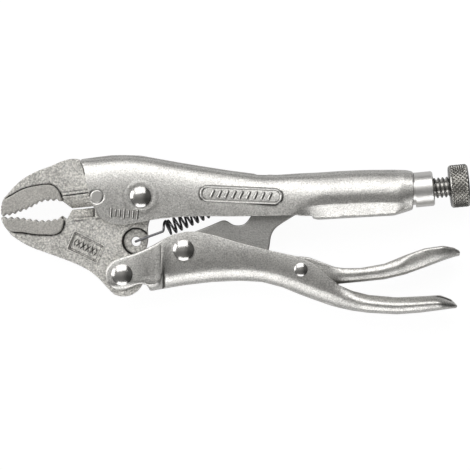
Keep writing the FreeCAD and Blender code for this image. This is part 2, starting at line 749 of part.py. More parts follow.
def screw_start():
    base = screw_at(HANDLE_END) + SCREW_WAY * (COLLAR_CLEAR + size("collar_length"))
    return base - SCREW_WAY * (screw_length() - size("thread_shown"))


def adjusting_knob():
    made = body("adjusting_knob")
    radius = size("knob_across") / 2
    spigot = SPIGOT + size("knob_play")
    length = size("knob_length")
    ease = size("knob_round")
    outline = polygon(
        point(0, spigot), point(0, radius - ease), point(ease, radius),
        point(length - ease, radius), point(length, radius - ease), point(length, spigot),
    )
    revolve(made, "turned", outline)
    return along_screw(made, screw_start() + SCREW_WAY * screw_length())


# ---------------------------------------------------------------- jaw spring

def rod(start, end, radius):
    way = end - start
    return Part.makeCylinder(radius, way.Length, start, way)


def bent_wire(route, radius):
    """Straight rods through the points of a route, with a ball at each bend."""
    wire = rod(route[0], route[1], radius)
    for start, end in zip(route[1:-1], route[2:]):
        wire = wire.fuse([Part.makeSphere(radius, start), rod(start, end, radius)])
    return wire


def jaw_spring():
    """The coil's outer shape as a tube, with its two hooked ends."""
    wire = size("spring_wire") / 2
    outer = size("spring_across") / 2
    near = point(6.9, -7.9)
    far = point(22.5, -1.0)
    coil = rod(near, far, outer).cut(rod(near, far, outer - 2 * wire))
    lay = JAW_HALF - size("seat_depth") + wire + 0.02
    front = bent_wire([SPRING_HOLE + point(0, 0, 0.6), SPRING_HOLE + point(0, 0, lay),
                       point(5.4, -8.75, lay), point(6.9, -7.3, outer - wire)], wire)
    back = bent_wire([point(22.0, 0.2, outer - wire), point(24.5, 0.5, 0.5),
                      point(28.6, 1.9, 0.0), point(29.5, 2.4, 0.0), point(29.4, 3.6, 0.0)], wire)
    made = doc.addObject("Part::Feature", "jaw_spring")
    made.Label = "jaw_spring"
    made.Shape = coil.fuse([front, back]).removeSplitter()
    return made


# ---------------------------------------------------------------- the whole tool

pieces = [
    upper_handle(),
    upper_jaw(),
    lower_jaw(),
    lower_handle(),
    toggle_link(),
    release_lever(),
    headed_rivet("jaw_pivot_rivet", MAIN_PIVOT, "main_shank", "main_head", "main_rise", EAR_OUTER),
    headed_rivet("handle_rivet", HANDLE_PIVOT, "main_shank", "main_head", "main_rise", EAR_OUTER),
    headed_rivet("link_rivet", LINK_PIVOT, "main_shank", "main_head", "main_rise", CHANNEL_OUTER),
    headed_rivet("release_rivet", RELEASE_PIVOT, "small_shank", "small_head", "small_rise",
                 CHANNEL_OUTER),
    flush_rivet("upper_jaw_rivet", ANCHOR, "anchor_shank", EAR_OUTER + FLUSH_RISE),
    screw_bushing(),
    adjusting_screw(),
    adjusting_knob(),
    jaw_spring(),
]
doc.recompute()

box = FreeCAD.BoundBox()
for piece in pieces:
    box.add(piece.Shape.optimalBoundingBox(False))
shift = point(-box.Center.x, -box.Center.y, -box.ZMin)
for piece in pieces:
    piece.Placement = FreeCAD.Placement(piece.Placement.Base + shift, piece.Placement.Rotation)
doc.recompute()
print("origin is the main pivot plus", [round(value, 4) for value in shift * -1])
print("box", round(box.XLength, 3), round(box.YLength, 3), round(box.ZLength, 3))

for item in doc.Objects:
    if "Invalid" in item.State or "Error" in item.State:
        raise RuntimeError("%s failed: %s" % (item.Name, item.State))
for piece in pieces:
    if piece.Shape.isNull() or not piece.Shape.isValid() or len(piece.Shape.Solids) != 1:
        raise RuntimeError("%s is not one valid solid" % piece.Label)

os.makedirs("parts", exist_ok=True)
for piece in pieces:
    piece.Shape.exportStep("parts/%s.step" % piece.Label)
    print("%-18s %9.3f mm3" % (piece.Label, piece.Shape.Volume))
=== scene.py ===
import json
import math

import bmesh
import bpy
import numpy as np
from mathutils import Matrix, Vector

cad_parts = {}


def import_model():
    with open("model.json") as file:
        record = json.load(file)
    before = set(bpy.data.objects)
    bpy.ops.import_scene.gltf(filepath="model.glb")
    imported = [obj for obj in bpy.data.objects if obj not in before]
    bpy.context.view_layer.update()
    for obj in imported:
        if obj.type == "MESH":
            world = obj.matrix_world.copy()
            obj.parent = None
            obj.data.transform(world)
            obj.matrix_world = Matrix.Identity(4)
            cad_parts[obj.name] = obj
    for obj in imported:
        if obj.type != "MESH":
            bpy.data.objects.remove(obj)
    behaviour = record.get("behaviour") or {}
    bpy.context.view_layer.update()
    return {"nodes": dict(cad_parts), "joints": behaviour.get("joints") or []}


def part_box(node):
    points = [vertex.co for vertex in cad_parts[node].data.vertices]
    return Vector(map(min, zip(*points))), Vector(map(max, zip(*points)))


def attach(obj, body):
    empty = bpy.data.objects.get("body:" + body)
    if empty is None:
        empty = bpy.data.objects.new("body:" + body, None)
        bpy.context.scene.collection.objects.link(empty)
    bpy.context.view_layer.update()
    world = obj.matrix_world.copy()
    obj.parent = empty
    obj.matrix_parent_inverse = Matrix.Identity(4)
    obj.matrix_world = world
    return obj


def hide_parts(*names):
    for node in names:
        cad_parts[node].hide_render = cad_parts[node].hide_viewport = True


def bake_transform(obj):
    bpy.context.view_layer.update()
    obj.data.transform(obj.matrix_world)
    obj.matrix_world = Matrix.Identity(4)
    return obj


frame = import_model()

# Shapes are worked out in millimetres about the main jaw pivot and turned into metres in the
# row frame at the end: +X to the knob, +Y to the fixed handle's back, +Z up.
MM = 0.001
JOINTS = {joint["name"]: joint for joint in frame["joints"]}
ORIGIN = np.array(JOINTS["jaw_swing"]["pos_m"])
SCREW_WAY = np.array(JOINTS["screw_advance"]["axis"])


def local(point):
    """A place in the row frame, in millimetres about the main pivot."""
    return (np.array(point) - ORIGIN) / MM


def world(points):
    return np.asarray(points, float) * MM + ORIGIN


def joint_place(name):
    return local(JOINTS[name]["pos_m"])


ANCHOR = (local(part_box("upper_jaw_rivet")[0]) + local(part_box("upper_jaw_rivet")[1])) / 2

# Heights above the middle plane: the handles' wide ears, a jaw's pads and its plate, the
# rolled tube and the moving handle's channel. Then the depth of the spring's recess.
EAR_FACE = local(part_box("upper_jaw_rivet")[1])[2] - 0.1
PAD_FACE = local(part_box("upper_jaw")[1])[2]
JAW_FACE = 3.0
TUBE_HALF = 5.15
CHANNEL_FACE = 3.6
SEAT_DEPTH = 0.9

# Where along X the pressed pieces change shape, each from one place to another: the fixed
# handle from channel to tube and at the tube's mouth, the moving handle behind its ears and
# from channel to flared tail, and the release lever from blade to spoon.
CHANNEL_TO_TUBE = (37.0, 46.0)
TUBE_MOUTH = (63.0, 66.0)
EARS_LEAN_IN = (-2.5, 4.6)
BEHIND_EARS = (5.0, 5.8)
CHANNEL_TO_TAIL = (46.0, 56.0)
TAIL_TIP = (74.5, 80.0)
LEVER_TAIL = (46.0, 52.0)
LEVER_SPOON = (64.0, 69.0)
LEVER_TIP = (74.0, 80.0)

# Height of the small raised marks on the handle.
MARK_HEIGHT = 0.26


# ---------------------------------------------------------------- numbers on points

def smoothstep(low, high, value):
    part = np.clip((value - low) / (high - low), 0.0, 1.0)
    return part * part * (3.0 - 2.0 * part)


def hashed(cells, seed):
    """One repeatable number from -1 to 1 for each whole-number cell."""
    mixed = (cells[:, 0] * 73856093) ^ (cells[:, 1] * 19349663) ^ (cells[:, 2] * 83492791)
    mixed = (mixed ^ (seed * 2654435761)) & 0xFFFFFFFF
    mixed = ((mixed ^ (mixed >> 15)) * 2246822519) & 0xFFFFFFFF
    mixed = ((mixed ^ (mixed >> 13)) * 3266489917) & 0xFFFFFFFF
    return ((mixed ^ (mixed >> 16)) & 0xFFFFFF) / float(0x7FFFFF) - 1.0


def value_noise(points, scale, seed):
    """Smooth noise from -1 to 1, with lumps about scale across."""
    place = points / scale
    cell = np.floor(place).astype(np.int64)
    part = place - cell
    part = part * part * (3.0 - 2.0 * part)
    total = np.zeros(len(points))
    for corner in range(8):
        step = np.array([corner & 1, (corner >> 1) & 1, (corner >> 2) & 1])
        weight = np.prod(np.where(step == 1, part, 1.0 - part), axis=1)
        total += weight * hashed(cell + step, seed)
    return total


def grain(points, scale, seed):
    """Three layers of noise, each finer and fainter than the last."""
    total = np.zeros(len(points))
    share = 1.0
    for layer in range(3):
        total += share * value_noise(points, scale / (1.9 ** layer), seed + layer)
        share *= 0.55
    return total


# ---------------------------------------------------------------- meshes

def mesh_object(name, vertices, faces):
    mesh = bpy.data.meshes.new(name)
    mesh.from_pydata([tuple(v) for v in vertices], [], [tuple(f) for f in faces])
    mesh.update()
    made = bpy.data.objects.new(name, mesh)
    bpy.context.scene.collection.objects.link(made)
    return made


def coordinates(mesh, kind="co"):
    values = np.zeros(len(mesh.vertices) * 3)
    mesh.vertices.foreach_get(kind, values)
    return values.reshape(-1, 3)


def set_coordinates(mesh, points):
    mesh.vertices.foreach_set("co", points.ravel())
    mesh.update()


def remeshed(node, name, voxel):
    """A closed skin of even small faces over a CAD node, in millimetres about the pivot."""
    mesh = frame["nodes"][node].data.copy()
    set_coordinates(mesh, local(coordinates(mesh)))
    bm = bmesh.new()
    bm.from_mesh(mesh)
    bmesh.ops.remove_doubles(bm, verts=bm.verts, dist=1e-4)
    bm.to_mesh(mesh)
    bm.free()
    made = bpy.data.objects.new(name, mesh)
    bpy.context.scene.collection.objects.link(made)
    modifier = made.modifiers.new("skin", "REMESH")
    modifier.mode = "VOXEL"
    modifier.voxel_size = voxel
    modifier.adaptivity = 0.0
    bpy.context.view_layer.update()
    graph = bpy.context.evaluated_depsgraph_get()
    skinned = bpy.data.meshes.new_from_object(made.evaluated_get(graph))
    made.modifiers.clear()
    made.data = skinned
    skinned.materials.clear()
    return made


def edge_ends(mesh):
    ends = np.zeros(len(mesh.edges) * 2, np.int32)
    mesh.edges.foreach_get("vertices", ends)
    return ends.reshape(-1, 2)


def neighbour_mean(points, ends):
    count = np.bincount(ends.ravel(), minlength=len(points)).astype(float)
    total = np.stack([
        np.bincount(ends[:, 0], points[ends[:, 1], axis], len(points))
        + np.bincount(ends[:, 1], points[ends[:, 0], axis], len(points))
        for axis in range(3)
    ], axis=1)
    return total / np.maximum(count, 1.0)[:, None]


def relax(made, rounds, back=0.0):
    """Rounds off edges and facets. back undoes part of the shrinking each round."""
    mesh = made.data
    points = coordinates(mesh)
    ends = edge_ends(mesh)
    for _ in range(rounds):
        points = points + 0.5 * (neighbour_mean(points, ends) - points)
        if back:
            points = points - back * (neighbour_mean(points, ends) - points)
    set_coordinates(mesh, points)


def refine(made, inside, cuts):
    """Splits the faces of the flat sides whose middle lies inside a region."""
    bm = bmesh.new()
    bm.from_mesh(made.data)
    bm.normal_update()
    chosen = [
        face for face in bm.faces
        if abs(face.normal.z) > 0.75 and inside(face.calc_center_median())
    ]
    edges = list({edge for face in chosen for edge in face.edges})
    bmesh.ops.subdivide_edges(bm, edges=edges, cuts=cuts, use_grid_fill=True, smooth=0.0)
    bm.to_mesh(made.data)
    bm.free()
    made.data.update()


def within(left, right, low, high):
    """A region for refine: a box in X and Y."""
    return lambda place: left < place.x < right and low < place.y < high


def raise_flats(made, height):
    """Lifts the flat sides by height(x, y) millimetres, outwards on both sides."""
    mesh = made.data
    points = coordinates(mesh)
    normals = coordinates(mesh, "normal")
    lift = height(points[:, 0], points[:, 1])
    lift = lift * smoothstep(0.55, 0.8, np.abs(normals[:, 2]))
    points[:, 2] += np.sign(points[:, 2]) * lift
    set_coordinates(mesh, points)


def roughen(made, height, scale, seed, mask=None):
    """Moves the skin out and in by up to height, less where mask(points) is below 1."""
    mesh = made.data
    points = coordinates(mesh)
    normals = coordinates(mesh, "normal")
    lift = height * grain(points, scale, seed)
    if mask is not None:
        lift = lift * mask(points)
    set_coordinates(mesh, points + normals * lift[:, None])


class Sheet:
    """What a pressed piece's outer skin looks like from above: for any x its two edges, and
    for any place the height of its skin."""
    CELL = 0.5

    def __init__(self, points):
        self.low = points[:, :2].min(axis=0) - 1.0
        cells = np.floor((points[:, :2] - self.low) / self.CELL).astype(int)
        shape = cells.max(axis=0) + 3
        self.height = np.zeros(shape)
        np.maximum.at(self.height, (cells[:, 0], cells[:, 1]), np.abs(points[:, 2]))
        self.top = np.full(shape[0], -1e3)
        self.bottom = np.full(shape[0], 1e3)
        np.maximum.at(self.top, cells[:, 0], points[:, 1])
        np.minimum.at(self.bottom, cells[:, 0], points[:, 1])
        columns = np.arange(shape[0])
        filled = self.top > -1e3
        self.top = self.eased(np.interp(columns, columns[filled], self.top[filled]))
        self.bottom = self.eased(np.interp(columns, columns[filled], self.bottom[filled]))
        self.even = self.evened(self.height, 5)

    @staticmethod
    def evened(height, rounds):
        """Spreads each height over the filled cells round it."""
        filled = height > 0
        for _ in range(rounds):
            total = np.zeros_like(height)
            count = np.zeros_like(height)
            for step_x in (-1, 0, 1):
                for step_y in (-1, 0, 1):
                    total += np.roll(height, (step_x, step_y), (0, 1))
                    count += np.roll(filled, (step_x, step_y), (0, 1))
            height = np.where(filled, total / np.maximum(count, 1.0), 0.0)
        return height

    def at(self, grid, points):
        """A grid's value at each point, from the filled cells round it, or 0 without any."""
        place = (points[:, :2] - self.low) / self.CELL - 0.5
        cell = np.clip(np.floor(place).astype(int), 0, np.array(grid.shape) - 2)
        part = np.clip(place - cell, 0.0, 1.0)
        total = np.zeros(len(points))
        weight = np.zeros(len(points))
        for step_x in (0, 1):
            for step_y in (0, 1):
                share = part[:, 0] if step_x else 1.0 - part[:, 0]
                share = share * (part[:, 1] if step_y else 1.0 - part[:, 1])
                value = grid[cell[:, 0] + step_x, cell[:, 1] + step_y]
                share = share * (value > 0)
                total += share * value
                weight += share
        return np.where(weight > 0, total / np.maximum(weight, 1e-9), 0.0)

    @staticmethod
    def eased(values, rounds=14):
        """Smooths an edge without moving its ends."""
        for _ in range(rounds):
            padded = np.pad(values, 2, mode="reflect", reflect_type="odd")
            values = np.convolve(padded, np.array([1, 2, 3, 2, 1]) / 9.0, "valid")
        return values

    def edge_at(self, edge, x):
        column = (x - self.low[0]) / self.CELL - 0.5
        return np.interp(column, np.arange(len(edge)), edge)

    def square_to(self, edge, x):
        """Turns a distance along Y into one square to the edge, as a factor."""
        step = 1.0
        rise = (self.edge_at(edge, x + step) - self.edge_at(edge, x - step)) / (2.0 * step)
        return 1.0 / np.sqrt(1.0 + rise ** 2)

    def from_top(self, x, y):
        return np.maximum(self.edge_at(self.top, x) - y, 0.0) * self.square_to(self.top, x)

    def from_bottom(self, x, y):
        return (np.maximum(y - self.edge_at(self.bottom, x), 0.0)
                * self.square_to(self.bottom, x))

    def from_rim(self, x, y):
        return np.minimum(self.from_top(x, y), self.from_bottom(x, y))


def folded(depth, top, leans):
    """Height of a folded sheet's skin at a depth in from its folded edge. leans gives the
    skin's lean in degrees at some depths, from upright at the edge to flat inside."""
    depths, degrees = zip(*leans)
    step = 0.02
    steepest = 84.0
    along = np.arange(0.0, depths[-1] + step, step)
    lean = np.minimum(np.interp(along, depths, degrees), steepest)
    rise = np.tan(np.radians(lean)) * step
    drop = np.cumsum(rise[::-1])[::-1]
    return top - np.interp(depth, along, drop, right=0.0)


def crowned(sheet, x, y, peak, over, under):
    """A factor that rounds a narrow tail across its width. It is highest at the share peak
    of the width, and falls by the amounts over and under towards the two edges."""
    above = sheet.from_top(x, y)
    share = above / np.maximum(above + sheet.from_bottom(x, y), 0.1)
    amount = np.where(share < peak, over, under)
    return 1.0 - amount * np.abs(2.0 * (share - peak)) ** 2.0


def press(made, wanted):
    """Presses the skin to a height. wanted(sheet, x, y, height) gives it and the depth in
    from the fold, and what lies under the skin moves in the same proportion."""
    past_fold = (0.3, 0.9)
    under_skin = (0.3, 0.6)
    least_height = 0.3
    mesh = made.data
    points = coordinates(mesh)
    sheet = Sheet(points)
    x, y = points[:, 0], points[:, 1]
    outside = sheet.at(sheet.height, points)
    under = np.maximum(outside - np.abs(points[:, 2]), 0.0)
    height = np.maximum(sheet.at(sheet.even, points), least_height)
    goal, depth = wanted(sheet, x, y, height)
    ratio = np.clip(goal / height, 0.5, 1.5)
    skin = smoothstep(*past_fold, depth) * (1.0 - smoothstep(*under_skin, under))
    side = np.sign(points[:, 2])
    points[:, 2] = side * (skin * goal + (1.0 - skin) * np.abs(points[:, 2]) * ratio)
    set_coordinates(mesh, points)


def mark_hollows(made, rounds=3):
    """Stores how deep each point lies among its neighbours, as the mask for painted shade in the
    hollows.
    """
    mesh = made.data
    points = coordinates(mesh)
    normals = coordinates(mesh, "normal")
    mean = neighbour_mean(points, edge_ends(mesh))
    for _ in range(rounds):
        mean = neighbour_mean(mean, edge_ends(mesh))
    depth = np.sum((mean - points) * normals, axis=1)
    attribute = mesh.attributes.new("hollow", "FLOAT", "POINT")
    attribute.data.foreach_set("value", depth.astype(np.float32))


def to_row_frame(made, material):
    """Turns a finished shape from millimetres into the row frame, and gives it a material
    if it has none."""
    mesh = made.data
    set_coordinates(mesh, world(coordinates(mesh)))
    mesh.polygons.foreach_set("use_smooth", np.ones(len(mesh.polygons), bool))
    mesh.update()
    if not mesh.materials:
        mesh.materials.append(MATERIALS[material])


def finish_piece(made, body, slot_name, *nodes):
    """Puts a piece into the row frame and on its body. Its material has the slot's name."""
    to_row_frame(made, slot_name)
    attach(made, body)
    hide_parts(*nodes)


# ---------------------------------------------------------------- materials

def shader(name, colour, roughness, metallic=1.0):
    made = bpy.data.materials.new(name)
    made.use_nodes = True
    tree = made.node_tree
    surface = tree.nodes["Principled BSDF"]
    surface.inputs["Metallic"].default_value = metallic
    surface.inputs["Roughness"].default_value = roughness
    surface.inputs["Base Color"].default_value = (*colour, 1.0)
    return made, tree, surface


def node(tree, kind, **sockets):
    made = tree.nodes.new(kind)
    for socket, value in sockets.items():
        made.inputs[socket.replace("_", " ")].default_value = value
    return made


def noise(tree, place, scale, detail=4.0, stretch=None):
    """Noise with lumps about 1 / scale metres across."""
    source = place
    if stretch is not None:
        mapping = tree.nodes.new("ShaderNodeMapping")
        mapping.inputs["Scale"].default_value = stretch[0]
        mapping.inputs["Rotation"].default_value = stretch[1]
        tree.links.new(place, mapping.inputs["Vector"])
        source = mapping.outputs["Vector"]
    made = node(tree, "ShaderNodeTexNoise", Scale=scale, Detail=detail, Roughness=0.6)
    tree.links.new(source, made.inputs["Vector"])
    return made.outputs["Fac"]


def spread(tree, source, low, high):
    """Stretches noise, which keeps mostly to 0.25 to 0.75, over low to high."""
    made = tree.nodes.new("ShaderNodeMapRange")
    made.inputs["To Min"].default_value = low
    made.inputs["To Max"].default_value = high
    made.inputs["From Min"].default_value = 0.25
    made.inputs["From Max"].default_value = 0.75
    tree.links.new(source, made.inputs["Value"])
    return made.outputs["Result"]


def bumps(tree, surface, layers):
    """Stacks bump maps: each layer is a source, a strength and a depth in metres."""
    previous = None
    for source, strength, depth in layers:
        made = node(tree, "ShaderNodeBump", Strength=strength, Distance=depth)
        tree.links.new(source, made.inputs["Height"])
        if previous is not None:
            tree.links.new(previous, made.inputs["Normal"])
        previous = made.outputs["Normal"]
    tree.links.new(previous, surface.inputs["Normal"])


def hollow_shade_and_flecks(tree, surface, light, dark, reach, place, fleck=0.0, fleck_scale=2600.0):
    """Base colour: light metal with painted shade in its hollows, dark from a depth of reach on,
    with cloudy patches and flecks about 1 / fleck_scale metres across."""
    # The hollow depth masks painted shade: ambient occlusion painted into the base colour.
    depth = tree.nodes.new("ShaderNodeAttribute")
    depth.attribute_name = "hollow"
    made = tree.nodes.new("ShaderNodeMapRange")
    made.inputs["From Min"].default_value = 0.0
    made.inputs["From Max"].default_value = reach
    tree.links.new(depth.outputs["Fac"], made.inputs["Value"])
    patches = spread(tree, noise(tree, place, 180.0, 5.0), 0.0, 0.3)
    flecks = spread(tree, noise(tree, place, fleck_scale, 2.0), 0.0, 1.0)
    total = tree.nodes.new("ShaderNodeMath")
    total.operation = "ADD"
    tree.links.new(patches, total.inputs[0])
    tree.links.new(flecks, total.inputs[1])
    tint = tree.nodes.new("ShaderNodeMix")
    tint.data_type = "RGBA"
    tint.inputs["A"].default_value = (*[(1.0 - fleck) * part for part in light], 1.0)
    tint.inputs["B"].default_value = (*[(1.0 + 0.5 * fleck) * part for part in light], 1.0)
    tree.links.new(total.outputs["Value"], tint.inputs["Factor"])
    # Blends towards the dark colour where the hollow depth passes reach: painted shade.
    mix = tree.nodes.new("ShaderNodeMix")
    mix.data_type = "RGBA"
    mix.inputs["B"].default_value = (*dark, 1.0)
    tree.links.new(made.outputs["Result"], mix.inputs["Factor"])
    tree.links.new(tint.outputs["Result"], mix.inputs["A"])
    tree.links.new(mix.outputs["Result"], surface.inputs["Base Color"])


def object_place(tree):
    return tree.nodes.new("ShaderNodeTexCoord").outputs["Object"]


def plated_sheet():
    """Satin nickel over pressed sheet, with a fine pebble like frosted glass."""
    made, tree, surface = shader("plated_sheet", (0.66, 0.65, 0.63), 0.3)
    place = object_place(tree)
    pebble = noise(tree, place, 2600.0, 3.0)
    dust = noise(tree, place, 6500.0, 2.0)
    rough = noise(tree, place, 500.0, 4.0)
    tree.links.new(spread(tree, rough, 0.27, 0.36), surface.inputs["Roughness"])
    bumps(tree, surface, [(pebble, 0.9, 0.00008), (dust, 1.0, 0.00004)])
    # The second colour is the painted shade in the hollows.
    hollow_shade_and_flecks(tree, surface, (0.69, 0.68, 0.655), (0.12, 0.117, 0.11), 0.03, place,
           fleck=0.5, fleck_scale=2900.0)
    return made


def forged_jaw():
    """Nickel over a blasted forging: coarser lumps than the sheet, and duller."""
    made, tree, surface = shader("forged_jaw", (0.7, 0.69, 0.67), 0.4)
    place = object_place(tree)
    pits = noise(tree, place, 2300.0, 4.0)
    dust = noise(tree, place, 5500.0, 2.0)
    rough = noise(tree, place, 700.0, 4.0)
    tree.links.new(spread(tree, rough, 0.34, 0.5), surface.inputs["Roughness"])
    bumps(tree, surface, [(pits, 1.0, 0.0003), (dust, 1.0, 0.0001)])
    # The second colour is the painted shade in the hollows.
    hollow_shade_and_flecks(tree, surface, (0.71, 0.695, 0.66), (0.05, 0.048, 0.045), 0.06, place,
           fleck=0.7, fleck_scale=2100.0)
    return made


def ground_steel():
    """The jaws' ground side flats and tooth tips: fine slanted grinding lines."""
    made, tree, surface = shader("ground_steel", (0.7, 0.69, 0.67), 0.5)
    place = object_place(tree)
    lines = noise(tree, place, 1400.0, 3.0, ((0.2, 3.0, 1.0), (0.0, 0.0, math.radians(-24))))
    fine = noise(tree, place, 3800.0, 2.0)
    tree.links.new(spread(tree, lines, 0.48, 0.62), surface.inputs["Roughness"])
    bumps(tree, surface, [(lines, 0.5, 0.00004), (fine, 0.9, 0.0001)])
    # The second colour is the painted shade in the hollows round the pads and teeth.
    hollow_shade_and_flecks(tree, surface, (0.57, 0.555, 0.525), (0.03, 0.03, 0.03), 0.04, place, fleck=0.4)
    return made


def dark_plate():
    """The link's darker stamped steel, with slanted streaks."""
    made, tree, surface = shader("dark_plate", (0.3, 0.3, 0.3), 0.45)
    place = object_place(tree)
    streaks = noise(tree, place, 900.0, 4.0, ((0.3, 1.6, 1.0), (0.0, 0.0, math.radians(30))))
    fine = noise(tree, place, 3000.0, 3.0)
    tree.links.new(spread(tree, streaks, 0.46, 0.6), surface.inputs["Roughness"])
    bumps(tree, surface, [(streaks, 0.4, 0.00004), (fine, 0.9, 0.0001)])
    # The second colour is the painted shade in the hollows.
    hollow_shade_and_flecks(tree, surface, (0.47, 0.465, 0.45), (0.05, 0.05, 0.05), 0.02, place, fleck=0.3)
    return made


def polished(name, colour, roughness, scale=700.0, depth=0.000008):
    made, tree, surface = shader(name, colour, roughness)
    place = object_place(tree)
    waves = noise(tree, place, scale, 4.0)
    tree.links.new(spread(tree, waves, roughness * 0.8, roughness * 1.3),
                   surface.inputs["Roughness"])
    bumps(tree, surface, [(waves, 0.4, depth)])
    return made


def turned(name, colour, roughness):
    """Turned steel: fine rings round the screw's axis."""
    made, tree, surface = shader(name, colour, roughness)
    place = object_place(tree)
    lean = math.atan2(SCREW_WAY[1], SCREW_WAY[0])
    rings = noise(tree, place, 2500.0, 3.0, ((1.0, 0.03, 0.03), (0.0, 0.0, -lean)))
    fine = noise(tree, place, 1500.0, 3.0)
    tree.links.new(spread(tree, fine, roughness * 0.8, roughness * 1.3),
                   surface.inputs["Roughness"])
    bumps(tree, surface, [(rings, 0.5, 0.00002), (fine, 0.3, 0.00001)])
    # A quarter of the colour is painted shade in the hollows, such as thread roots and knurl
    # grooves.
    hollow_shade_and_flecks(tree, surface, colour, [0.25 * part for part in colour], 0.08, place)
    return made


MATERIALS = {
    "plated_sheet": plated_sheet(),
    "forged_jaw": forged_jaw(),
    "ground_steel": ground_steel(),
    "dark_plate": dark_plate(),
    "rivet": polished("rivet", (0.55, 0.54, 0.525), 0.17, scale=900.0, depth=0.00008),
    "rivet_flush": polished("rivet_flush", (0.58, 0.57, 0.55), 0.5, scale=2500.0, depth=0.0001),
    "bushing": turned("bushing", (0.8, 0.79, 0.77), 0.36),
    "thread": turned("thread", (0.62, 0.61, 0.59), 0.26),
    "knob": turned("knob", (0.6, 0.59, 0.56), 0.26),
    "spring": polished("spring", (0.2, 0.2, 0.21), 0.22),
}


# ---------------------------------------------------------------- marks on flat faces

def turned_about(x, y, centre, degrees):
    angle = math.radians(degrees)
    across = x - centre[0]
    up = y - centre[1]
    return (across * math.cos(angle) + up * math.sin(angle),
            up * math.cos(angle) - across * math.sin(angle))


def segment_distance(x, y, start, end):
    way = np.array(end, float) - np.array(start, float)
    part = ((x - start[0]) * way[0] + (y - start[1]) * way[1]) / max(way @ way, 1e-9)
    part = np.clip(part, 0.0, 1.0)
    return np.hypot(x - start[0] - part * way[0], y - start[1] - part * way[1])


def ridge(distance, half_width, height):
    return height * (1.0 - smoothstep(0.0, half_width, distance))


def emblem(x, y):
    """A plain maker's panel: a rounded bar's outline filled with slanted ribs."""
    across, up = turned_about(x, y, (25.1, 0.45), -2.5)
    outline = np.abs(segment_distance(across, up, (-8.3, 0.0), (8.3, 0.0)) - 1.75)
    lift = ridge(outline, 0.36, MARK_HEIGHT)
    for place in np.arange(-7.2, 7.3, 1.8):
        rib = segment_distance(across, up, (place - 0.3, -0.7), (place + 0.3, 0.7))
        lift = np.maximum(lift, ridge(rib, 0.42, MARK_HEIGHT))
    return lift


def front_ticks(x, y):
    """A row of short upright bars below the main pivot."""
    across, up = turned_about(x, y, (-4.15, -4.25), -4.0)
    lift = np.zeros_like(x)
    for index, place in enumerate(np.arange(-3.3, 3.4, 1.1)):
        tall = 1.05 if index % 3 == 0 else 0.75
        bar = segment_distance(across, up, (place, -tall), (place, tall))
        lift = np.maximum(lift, ridge(bar, 0.27, MARK_HEIGHT))
    return lift


def ring(x, y, centre, radius, half_width, height):
    return ridge(np.abs(np.hypot(x - centre[0], y - centre[1]) - radius), half_width, height)


# ---------------------------------------------------------------- pressed and forged pieces

# Lean of the skin in degrees at depths in from the fold, in millimetres.
BACK_FOLD = ((0, 90), (0.45, 62), (0.75, 50), (0.95, 46), (1.3, 41), (1.6, 35), (2.2, 28),
             (3, 20), (4, 13), (5, 9), (7, 4), (10, 1), (12, 0))
TUBE_FOLD = ((0, 90), (0.5, 62), (0.8, 50), (1, 46), (1.5, 41), (1.9, 36), (2.8, 30),
             (3.8, 22), (4.8, 13), (5.8, 4), (6.2, 0))
BELLY_FOLD = ((0, 90), (0.4, 60), (0.7, 50), (0.85, 46), (1.15, 42), (1.5, 38), (2.3, 30),
              (2.8, 22), (3.3, 14), (4.2, 9), (6, 5), (9, 0))


def fixed_handle():
    made = remeshed("upper_handle", "fixed_handle_skin", 0.24)
    relax(made, 14, 0.3)

    nose = -12.0
    seam_depth = 5.8
    seam_bend = 2.5
    least_tube = 2.2

    def pressed(sheet, x, y, height):
        depth = sheet.from_top(np.maximum(x, nose), y)
        channel = folded(depth, EAR_FACE, BACK_FOLD)
        rolled = folded(depth, TUBE_HALF, TUBE_FOLD)
        past = np.maximum(depth - seam_depth, 0.0)
        fall = 0.055 * np.minimum(past, seam_bend) ** 2 + 0.6 * np.maximum(past - seam_bend, 0.0)
        rolled = np.maximum(rolled - fall, least_tube)
        rear = smoothstep(*CHANNEL_TO_TUBE, x)
        goal = channel * (1.0 - rear) + rolled * rear
        goal = goal + smoothstep(*TUBE_MOUTH, x) * (height - goal)
        return goal, depth

    press(made, pressed)
    relax(made, 3, 0.3)
    refine(made, within(15.4, 34.9, -1.9, 2.9), 2)
    refine(made, within(-8.6, 0.3, -6.0, -2.6), 2)
    refine(made, lambda c: (c.x - ANCHOR[0]) ** 2 + (c.y - ANCHOR[1]) ** 2 < 6.5, 2)

    def marks(x, y):
        lift = emblem(x, y) + front_ticks(x, y)
        lift += ring(x, y, ANCHOR, radius=1.65, half_width=0.45, height=-0.16)
        lift += ring(x, y, (0.0, 0.0), radius=3.6, half_width=0.9, height=0.05)
        return lift

    raise_flats(made, marks)
    mark_hollows(made)
    finish_piece(made, "fixed_handle", "plated_sheet", "upper_handle")


def grind_pads(made):
    """Gives the forging its material, and ground steel to the raised pads beside the teeth."""
    made.data.materials.append(MATERIALS["forged_jaw"])
    made.data.materials.append(MATERIALS["ground_steel"])
    centres = np.zeros(len(made.data.polygons) * 3)
    made.data.polygons.foreach_get("center", centres)
    on_pad = np.abs(centres.reshape(-1, 3)[:, 2]) > PAD_FACE - 0.2
    made.data.polygons.foreach_set("material_index", on_pad.astype(np.int32))


def off_pad(points):
    return 1.0 - smoothstep(PAD_FACE - 0.3, PAD_FACE - 0.15, np.abs(points[:, 2]))


def rails(*lines):
    """Low forged rails along straight lines, for the flat sides beside the wire cutter."""
    def lift(x, y):
        return np.max([ridge(segment_distance(x, y, *line), 0.4, 0.2) for line in lines], axis=0)
    return lift


